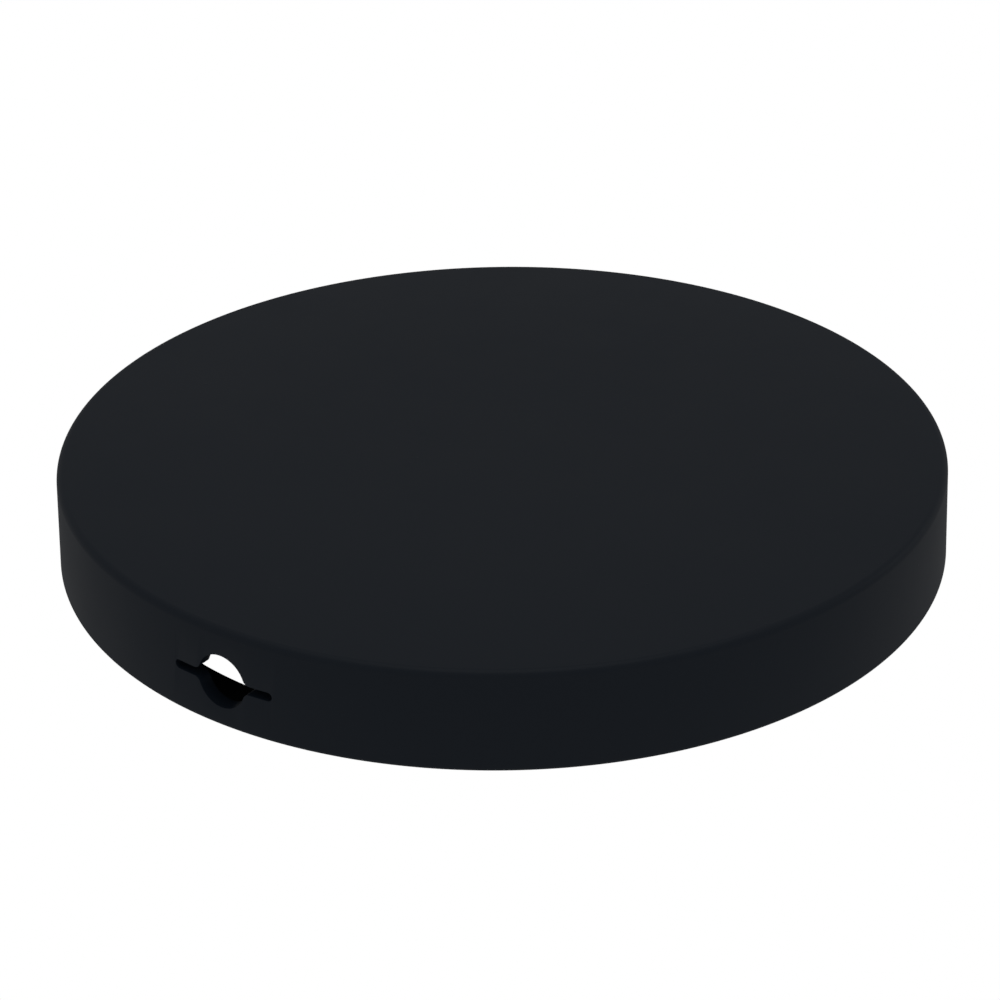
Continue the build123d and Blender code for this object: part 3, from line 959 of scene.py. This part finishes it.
@dataclass
class Coil:
    """The flat transmitter winding.

    Attributes:
        inner_radius: radius of its inner edge.
        turns: number of turns.
        gap: space between two turns; not used.
        points_per_turn: points that each turn is drawn with.
        smooth_angle: degrees under which the wire's edges shade smoothly.
    """

    inner_radius: float = 10.25 * MM
    turns: int = 10
    gap: float = 0.08 * MM
    points_per_turn: int = 48
    smooth_angle: float = 60

    def build(self) -> None:
        """Wind one strand of round wire into a flat spiral and dress it."""
        low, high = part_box("transmitter_coil")
        wire = (high.z - low.z) / 2
        start, end = self.inner_radius + wire, high.x - wire
        count = self.turns * self.points_per_turn
        line = bpy.data.curves.new("coil_winding", "CURVE")
        line.dimensions = "3D"
        line.bevel_depth = wire
        line.bevel_resolution = 2
        line.use_fill_caps = True
        strand = line.splines.new("POLY")
        strand.points.add(count)
        for index, point in enumerate(strand.points):
            angle = FULL_TURN * index / self.points_per_turn + math.pi / 2
            radius = start + (end - start) * index / count
            point.co = (radius * math.cos(angle), radius * math.sin(angle), (low.z + high.z) / 2, 1)
        piece = bpy.data.objects.new("coil_winding", line)
        bpy.context.scene.collection.objects.link(piece)
        pick(piece)
        bpy.ops.object.convert(target="MESH")
        bpy.ops.object.shade_smooth_by_angle(angle=math.radians(self.smooth_angle))
        dress(bpy.context.object, "copper_winding", "transmitter_coil")


@dataclass
class Electronics:
    """The parts that keep their CAD shape, each with its finish.

    Attributes:
        welded: nodes seen in the plug bay, which get a welded copy that shades smoothly.
    """

    welded: tuple[str, ...] = ("socket_shell", "socket_tongue")

    def build(self) -> None:
        """Dress every CAD node that is still shown."""
        slots = {part["node"]: part["material_slot"] for part in frame["record"]["subparts"]}
        for node in self.welded:
            dress(welded_copy(node, f"{node}_piece"), slots[node], node)
        for node, piece in frame["nodes"].items():
            if piece.hide_render:
                continue
            piece.data.materials.clear()
            piece.data.materials.append(FINISHES[slots[node]].material())
            LOG.info("node %s keeps its shape, with finish %s", node, slots[node])


# ---------------------------------------------------------------- studio


@dataclass
class Softbox:
    """A square soft light that points at the pad.

    Attributes:
        name: its name.
        size: width in metres.
        azimuth: degrees round the pad, 0 in front of the port.
        elevation: degrees above the table.
        distance: metres from the pad.
        power: watts.
        colour: linear RGB.
    """

    name: str
    size: float
    azimuth: float
    elevation: float
    distance: float
    power: float
    colour: Colour = (1.0, 1.0, 1.0)

    def build(self) -> None:
        """Hang the light."""
        light = bpy.data.lights.new(self.name, "AREA")
        light.shape = "SQUARE"
        light.size = self.size
        light.energy = self.power
        light.color = self.colour
        lamp = bpy.data.objects.new(self.name, light)
        bpy.context.scene.collection.objects.link(lamp)
        direction = heading(self.azimuth, self.elevation)
        lamp.location = direction * self.distance
        lamp.rotation_euler = direction.to_track_quat("Z", "Y").to_euler()


def heading(azimuth: float, elevation: float) -> Vector:
    """Unit vector from the pad towards a place round it.

    Args:
        azimuth: degrees, 0 in front of the port and 90 on its right.
        elevation: degrees above the table.

    Returns:
        The direction.
    """
    turn, lift = math.radians(azimuth), math.radians(elevation)
    return Vector((math.sin(turn) * math.cos(lift), -math.cos(turn) * math.cos(lift), math.sin(lift)))


@dataclass
class Studio:
    """Table and surround that the camera sees as white, soft lights and camera.

    Attributes:
        azimuth: camera's place round the pad, in degrees.
        elevation: camera's height above the table, in degrees.
        distance: metres from the camera to the middle of the pad's foot.
        lens: focal length in millimetres.
        sensor: width of the camera's sensor in millimetres.
        clip: nearest and furthest metres that the camera sees.
        shift: sideways and upward shift of the frame, as shares of its width.
        roll: turn of the camera about its own axis, in degrees.
        floor_size: width of the table top.
        floor_drop: space between the pad's foot and the table top.
        floor_glow: light that the table gives back to the pad.
        surround_glow: light that the surround gives to the pad.
    """

    azimuth: float = 35.35
    elevation: float = 28.687
    distance: float = 0.3468
    lens: float = 109.59
    sensor: float = 36
    clip: tuple[float, float] = (0.01, 50)
    shift: tuple[float, float] = (-0.0031, 0.0335)
    roll: float = -0.774
    floor_size: float = 8.0
    floor_drop: float = 0.02 * MM
    floor_glow: float = 0.150
    surround_glow: float = 0.144

    def build_camera(self) -> None:
        """Stand the camera where it looks at the pad's middle."""
        data = bpy.data.cameras.new("camera")
        data.lens = self.lens
        data.sensor_width = self.sensor
        data.shift_x, data.shift_y = self.shift
        data.clip_start, data.clip_end = self.clip
        camera = bpy.data.objects.new("camera", data)
        bpy.context.scene.collection.objects.link(camera)
        back = heading(self.azimuth, self.elevation)
        camera.location = back * self.distance
        camera.rotation_euler = back.to_track_quat("Z", "Y").to_euler()
        camera.rotation_euler.rotate_axis("Z", math.radians(self.roll))
        bpy.context.scene.camera = camera

    def seen_white(self, tree: bpy.types.NodeTree, glow: float, kind: str) -> bpy.types.NodeSocket:
        """Shader that the camera sees as plain white and the pad as a dimmer glow.

        Args:
            tree: node tree of the world or of the table's material.
            glow: strength towards the pad.
            kind: node type of the light-giving shader.

        Returns:
            The shader socket.
        """
        path = tree.nodes.new("ShaderNodeLightPath")
        strength = tree.nodes.new("ShaderNodeMapRange")
        strength.inputs["To Min"].default_value = glow
        strength.inputs["To Max"].default_value = 1.0
        tree.links.new(path.outputs["Is Camera Ray"], strength.inputs["Value"])
        shader = tree.nodes.new(kind)
        shader.inputs["Color"].default_value = (1, 1, 1, 1)
        tree.links.new(strength.outputs["Result"], shader.inputs["Strength"])
        return shader.outputs[0]

    def build_floor(self) -> None:
        """Lay the pale table top, which is clear when it is looked at from beneath."""
        bpy.ops.object.select_all(action="DESELECT")
        bpy.ops.mesh.primitive_plane_add(size=self.floor_size, location=(0, 0, -self.floor_drop))
        floor = bpy.context.object
        floor.name = "table_top"
        material = bpy.data.materials.new("table_white")
        material.use_nodes = True
        tree = material.node_tree
        tree.nodes.clear()
        output = tree.nodes.new("ShaderNodeOutputMaterial")
        side = tree.nodes.new("ShaderNodeNewGeometry")
        mixed = tree.nodes.new("ShaderNodeMixShader")
        clear = tree.nodes.new("ShaderNodeBsdfTransparent")
        tree.links.new(side.outputs["Backfacing"], mixed.inputs[0])
        tree.links.new(self.seen_white(tree, self.floor_glow, "ShaderNodeEmission"), mixed.inputs[1])
        tree.links.new(clear.outputs[0], mixed.inputs[2])
        tree.links.new(mixed.outputs[0], output.inputs["Surface"])
        floor.data.materials.append(material)

    def build_surround(self) -> None:
        """Light the space round the pad evenly."""
        world = bpy.data.worlds.new("surround")
        world.use_nodes = True
        tree = world.node_tree
        tree.nodes.clear()
        output = tree.nodes.new("ShaderNodeOutputWorld")
        glow = self.seen_white(tree, self.surround_glow, "ShaderNodeBackground")
        tree.links.new(glow, output.inputs["Surface"])
        bpy.context.scene.world = world

    def lights(self) -> Iterable[Softbox]:
        """The soft lights of the studio."""
        yield Softbox("top_softbox", size=0.9, azimuth=0, elevation=90, distance=1.2, power=0.45)
        yield Softbox("back_softbox", size=0.35, azimuth=150, elevation=22, distance=1.2, power=0.08)

    def build(self) -> None:
        """Set the studio up."""
        self.build_camera()
        self.build_floor()
        self.build_surround()
        for light in self.lights():
            light.build()
        bpy.context.scene.view_settings.view_transform = "Standard"


def main() -> None:
    """Build the studio and every sub-assembly, in order."""
    logging.basicConfig(level=logging.INFO, format="%(name)s %(message)s")
    Studio().build()
    for assembly in (Cover(), RetainingRing(), Hub(), Coil(), Electronics()):
        assembly.build()


if __name__ == "__main__":
    main()
